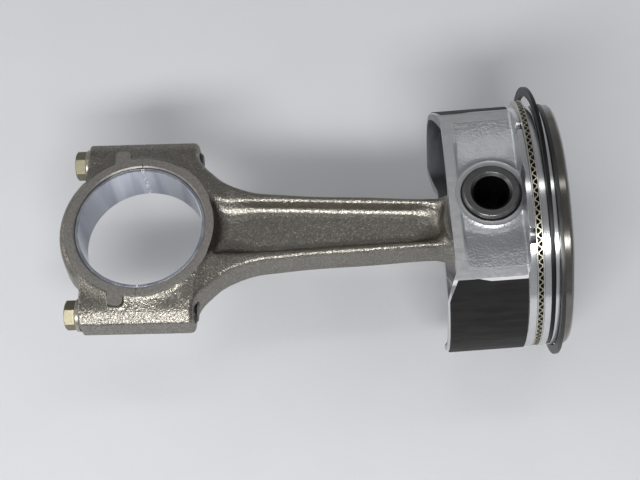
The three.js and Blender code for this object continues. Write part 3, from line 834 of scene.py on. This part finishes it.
def flared_bore(name, radius, top, edge, flare, segments, material):
    """A cutter for a bore whose mouths are broken by 45 degrees over edge, at top and bottom."""
    half = [(radius, top - edge), (radius + edge, top), (radius + flare + edge, top + flare),
            (0, top + flare)]
    outline = [(r, -h) for r, h in reversed(half)] + half
    return lathe(name, outline, "z", segments, material)


def machine_big_end(body, milled, forward):
    """Side faces, crankpin bore, split face and bolt holes, cut crisp into a forged half."""
    for side in (1, -1):
        low, high = sorted((side * RIM_Z, side * (RIM_Z + 6)))
        carve(body, block("side_face", (-FAR, -FAR, low), (100, FAR, high), milled))
    carve(body, flared_bore("bore", HOUSING_RADIUS, RIM_Z, 0.55, 8, 240, milled))
    for side in (1, -1):
        outline = [(0, -FAR), (BOLT_HOLE_RADIUS, -FAR), (BOLT_HOLE_RADIUS, FAR), (0, FAR)]
        hole = lathe("hole", outline, "x", 64, milled)
        hole.matrix_world = Matrix.Translation((0, side * BOLT_Y * MM, 0))
        carve(body, hole)
    start, end = (-80, SPLIT_GAP) if forward else (-SPLIT_GAP, 80)
    carve(body, block("split", (start, -80, -40), (end, 80, 40), milled))


def rod_cap(forged, milled):
    """The cap half of the big end, with the side tabs and the seats of the bolt heads."""
    low, high = (-39, -46, -14.5), (2, 46, 14.5)
    x, y, z = grid_axes(low, high, ROD_STEP)
    body = soft_min(big_end_field(x, y, z), boss_field(x, y, z, CAP_SEAT_X, 6, 1.2, 1.2), 3.0)
    # A tab on each side runs out from the rim, level with it, and a low ledge crosses the split.
    tab = soft_max(np.abs(x + 8.7) - 3.3, np.abs(np.abs(y) - 31.1) - 5.3, 2.2)
    body = soft_min(body, soft_max(soft_max(tab, np.abs(z) - RIM_Z - 0.7, 0.5), -40 - x, 1), 0.9)
    ledge = np.maximum(np.abs(x) - 5.4, np.abs(np.abs(y) - 29.5) - 3.9)
    body = soft_min(body, soft_max(ledge, np.abs(z) - 10.9, 0.6), 0.9)
    cap = field_mesh("rod_cap_visual", body, low, ROD_STEP, forged)
    for start, end in ((22, FAR), (-FAR, -22)):
        carve(cap, block("seat", (-FAR, start, -40), (CAP_SEAT_X, end, 40), milled))
    machine_big_end(cap, milled, False)
    cap.matrix_world = ROD_FRAME
    return shade(cap)


def connecting_rod(forged, milled):
    """The I-beam rod with its half of the big end and the eye that holds the wrist pin."""
    low, high = (-2, -46, -14.5), (ROD_LENGTH + EYE_RADIUS + 2, 46, 14.5)
    x, y, z = grid_axes(low, high, ROD_STEP)
    across, deep = np.abs(y), np.abs(z)
    body = soft_min(big_end_field(x, y, z), boss_field(x, y, z, -6, ROD_BOSS_END_X, 1.2, 3.0), 3.0)
    ledge = np.maximum(np.abs(x) - 2.0, np.abs(across - 29.5) - 3.9)
    body = soft_min(body, soft_max(ledge, deep - 10.9, 0.6), 0.9)

    edge, edge_slope = smooth_curve(BEAM_EDGE, x)
    flange = slope_distance(across - edge, edge_slope)
    beam = soft_max(soft_max(flange, deep - BEAM_Z, 2.6), np.maximum(21 - x, x - ROD_LENGTH), 1)
    wall, wall_slope = smooth_curve(POCKET_EDGE, x)
    wall = slope_distance(across - wall + 0.32 * (BEAM_Z - deep), wall_slope)
    start = RIM_RADIUS + 0.7 - np.sqrt(x * x + y * y)
    # The pocket's floor rises more softly into its two ends than into its side walls.
    runout = np.clip((50 - x) / 13, 0, 1) + np.clip((x - 117) / 9, 0, 1)
    pocket = soft_max(soft_max(wall, start, 4.0), x - POCKET_END_X, 5)
    pocket = soft_max(pocket, WEB_Z - deep, 3.4 + 4.5 * runout)
    eye = soft_max(np.sqrt((x - ROD_LENGTH) ** 2 + y * y) - EYE_RADIUS, deep - EYE_HALF_WIDTH - 0.7, 1.0)
    body = soft_min(body, beam, 6)
    body = soft_min(body, eye, 7)
    body = soft_cut(body, pocket, 1.9)

    rod = field_mesh("connecting_rod_visual", body, low, ROD_STEP, forged)
    machine_big_end(rod, milled, True)
    for side in (1, -1):
        a, b = sorted((side * EYE_HALF_WIDTH, side * (EYE_HALF_WIDTH + 6)))
        carve(rod, block("eye_face", (100, -FAR, a), (200, FAR, b), milled))
    eye_bore = flared_bore("eye_bore", EYE_BORE_RADIUS, EYE_HALF_WIDTH, 0.6, 17, 128, milled)
    eye_bore.matrix_world = Matrix.Translation((ROD_LENGTH * MM, 0, 0))
    carve(rod, eye_bore)
    rod.matrix_world = ROD_FRAME
    return shade(rod)


# ---- The object ----------------------------------------------------------------------------
def stand_in(obj, node, body):
    """The visual piece that takes the place of a CAD node."""
    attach(obj, body)
    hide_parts(node)


forged, ground = forged_steel(), ground_steel()
cast, milled, turned = cast_aluminium(), milled_aluminium(), turned_aluminium()
shell_metal, bolt_metal = bearing_metal(), bolt_steel()
top_iron = ring_iron("top_ring_iron", (0.1, 0.1, 0.097), (0.055, 0.055, 0.055))
second_iron = ring_iron("second_ring_iron", (0.038, 0.038, 0.039), (0.02, 0.02, 0.022))
rail_steel = spring_steel("rail_steel", (0.5, 0.49, 0.46), (0.68, 0.67, 0.63), 0.2)
strip_steel = spring_steel("expander_steel", (0.44, 0.4, 0.29), (0.7, 0.66, 0.54), 0.25)

stand_in(piston(cast, milled, turned), "piston", "piston")
stand_in(ring("top_ring_visual", top_iron, **TOP_RING), "top_ring", "top_ring")
stand_in(ring("second_ring_visual", second_iron, **SECOND_RING, warp=leaning),
         "second_ring", "second_ring")
for node, sizes in (("oil_rail_upper", UPPER_RAIL), ("oil_rail_lower", LOWER_RAIL)):
    stand_in(ring(f"{node}_visual", rail_steel, **sizes), node, node)
stand_in(expander(strip_steel), "oil_expander", "oil_expander")
stand_in(wrist_pin(pin_steel()), "wrist_pin", "rod")
stand_in(connecting_rod(forged, ground), "connecting_rod", "rod")
stand_in(rod_cap(forged, ground), "rod_cap", "rod")
for node, start in (("bearing_shell_rod", -90), ("bearing_shell_cap", 90)):
    stand_in(bearing_shell(f"{node}_visual", start, shell_metal), node, "rod")
for node, side in (("cap_bolt_upper", 1), ("cap_bolt_lower", -1)):
    stand_in(cap_bolt(f"{node}_visual", side, bolt_metal), node, "rod")


# ---- Floor, light and camera, metres -------------------------------------------------------
LIGHT_DISTANCE = 1.1
FLOOR_GAP = 0.0003


def floor(height):
    """A wide pale tabletop, very slightly uneven in tone."""
    look = Look("pale_floor")
    tone = look.blend(look.noise(60, 3), (0.7, 0.71, 0.73), (0.76, 0.77, 0.785))
    material = look.finish(tone, 0.6, 0.0, look.bump(look.noise(1.5, 2), 0.05))
    reach = 3000
    corners = [(-reach, -reach, 0), (reach, -reach, 0), (reach, reach, 0), (-reach, reach, 0)]
    made = mesh_object("floor", corners, [(0, 1, 2, 3)], material)
    made.matrix_world = Matrix.Translation((0, 0, height))


def softbox(name, middle, lean_x, lean_y, size, radiance):
    """A rectangular light over the object, leaning from straight above by degrees towards +x and +y."""
    tilt_x, tilt_y = math.tan(math.radians(lean_x)), math.tan(math.radians(lean_y))
    place = middle + Vector((tilt_x, tilt_y, 1)).normalized() * LIGHT_DISTANCE
    light = bpy.data.lights.new(name, "AREA")
    light.shape = "RECTANGLE"
    light.size, light.size_y = size
    light.energy = radiance * math.pi * size[0] * size[1]
    back = (place - middle).normalized()
    side = Vector((0, 1, 0)).cross(back).normalized()
    obj = bpy.data.objects.new(name, light)
    turn = Matrix((side, back.cross(side), back)).transposed().to_4x4()
    obj.matrix_world = Matrix.Translation(place) @ turn
    bpy.context.scene.collection.objects.link(obj)


def daylight():
    """A dim room above the table, a little lighter towards the horizon."""
    world = bpy.data.worlds.new("studio")
    world.use_nodes = True
    tree = world.node_tree
    split = tree.nodes.new("ShaderNodeSeparateXYZ")
    ramp = tree.nodes.new("ShaderNodeValToRGB")
    ramp.color_ramp.elements[0].position, ramp.color_ramp.elements[0].color = 0.0, (0.4, 0.405, 0.42, 1)
    ramp.color_ramp.elements[1].position, ramp.color_ramp.elements[1].color = 0.9, (0.24, 0.24, 0.245, 1)
    tree.links.new(tree.nodes.new("ShaderNodeTexCoord").outputs["Generated"], split.inputs[0])
    tree.links.new(split.outputs[2], ramp.inputs[0])
    background = tree.nodes["Background"]
    tree.links.new(ramp.outputs[0], background.inputs[0])
    background.inputs["Strength"].default_value = 1.0
    bpy.context.scene.world = world


def photo_camera():
    """The viewpoint of the photograph: nearly above, a little in front, and rolled."""
    azimuth, elevation, roll = math.radians(3.8), math.radians(65.4), math.radians(-7.8)
    distance, target = 0.6134, Vector((-0.10175, 0.0007, 0))
    level = math.cos(elevation)
    back = Vector((math.sin(azimuth) * level, -math.cos(azimuth) * level, math.sin(elevation)))
    level_right = Vector((math.cos(azimuth), math.sin(azimuth), 0))
    level_up = back.cross(level_right)
    right = level_right * math.cos(roll) + level_up * math.sin(roll)
    up = back.cross(right)
    data = bpy.data.cameras.new("photo_view")
    data.sensor_width, data.lens = 36, 79.7
    data.clip_start, data.clip_end = 0.01, 20
    camera = bpy.data.objects.new("photo_view", data)
    turn = Matrix((right, up, back)).transposed().to_4x4()
    camera.matrix_world = Matrix.Translation(target + back * distance) @ turn
    bpy.context.scene.collection.objects.link(camera)
    bpy.context.scene.camera = camera


object_low, object_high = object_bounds()
floor(object_low.z - FLOOR_GAP)
middle = (object_low + object_high) / 2
softbox("front", middle, -6, -43, (0.8, 0.18), 19)
softbox("overhead", middle, 4, 11, (0.9, 0.12), 2.5)
softbox("left", middle, -58, 4, (0.45, 0.9), 2.2)
bpy.context.scene.view_settings.view_transform = "Standard"
daylight()
photo_camera()
